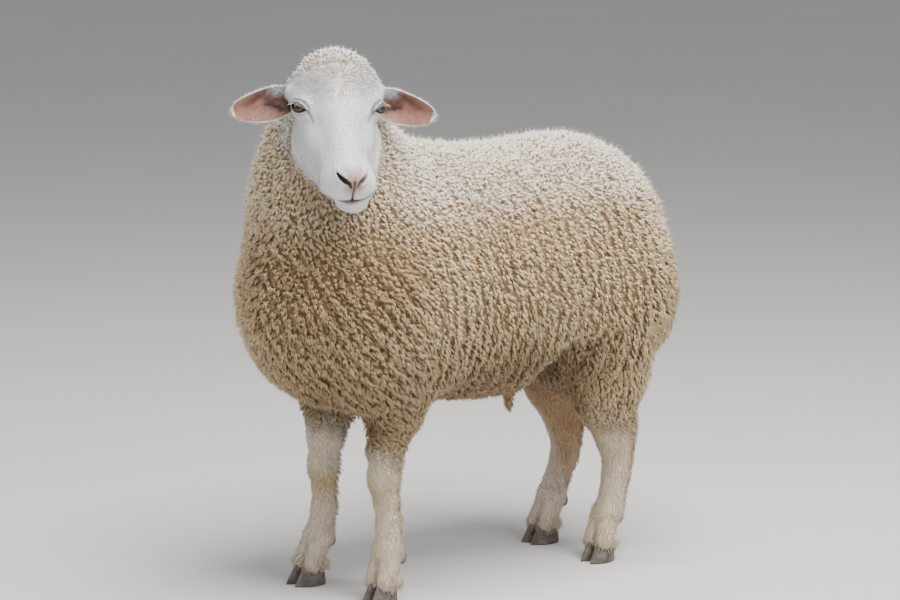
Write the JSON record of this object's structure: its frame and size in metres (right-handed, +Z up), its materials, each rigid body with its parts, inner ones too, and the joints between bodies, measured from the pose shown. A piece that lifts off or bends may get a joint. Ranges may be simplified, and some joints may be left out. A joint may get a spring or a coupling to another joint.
{
  "type": "sheep",
  "caption": "Still, life-size model of a standing white-faced sheep in short curly fleece, head turned to its left.",
  "frame": {"origin": "on the floor, under the middle of the sheep's bounding box", "axes": "the sheep heads along -Y, +X is towards its left side, +Z is up"},
  "size_m": [0.4406, 0.9218, 0.9439],
  "materials": {
    "fleece": "cream curly wool, matt",
    "face_hair": "short white hair over pale skin",
    "leg_hair": "short cream hair over pale skin",
    "ear_skin": "thin pink skin with fine white hair",
    "hoof_horn": "grey-brown horn, satin",
    "eye": "wet amber eye with a dark level pupil"
  },
  "bodies": {
    "root": {"trunk": "fleece", "neck": "fleece", "tail": "fleece", "sheath": "fleece", "head": "face_hair", "ear_left": "ear_skin", "ear_right": "ear_skin", "eye_left": "eye", "eye_right": "eye", "foreleg_left_upper": "fleece", "foreleg_left_lower": "leg_hair", "foreleg_left_claw_inner": "hoof_horn", "foreleg_left_dewclaw_inner": "hoof_horn", "foreleg_left_claw_outer": "hoof_horn", "foreleg_left_dewclaw_outer": "hoof_horn", "foreleg_right_upper": "fleece", "foreleg_right_lower": "leg_hair", "foreleg_right_claw_inner": "hoof_horn", "foreleg_right_dewclaw_inner": "hoof_horn", "foreleg_right_claw_outer": "hoof_horn", "foreleg_right_dewclaw_outer": "hoof_horn", "hindleg_left_upper": "fleece", "hindleg_left_lower": "leg_hair", "hindleg_left_claw_inner": "hoof_horn", "hindleg_left_dewclaw_inner": "hoof_horn", "hindleg_left_claw_outer": "hoof_horn", "hindleg_left_dewclaw_outer": "hoof_horn", "hindleg_right_upper": "fleece", "hindleg_right_lower": "leg_hair", "hindleg_right_claw_inner": "hoof_horn", "hindleg_right_dewclaw_inner": "hoof_horn", "hindleg_right_claw_outer": "hoof_horn", "hindleg_right_dewclaw_outer": "hoof_horn"}
  },
  "joints": []
}
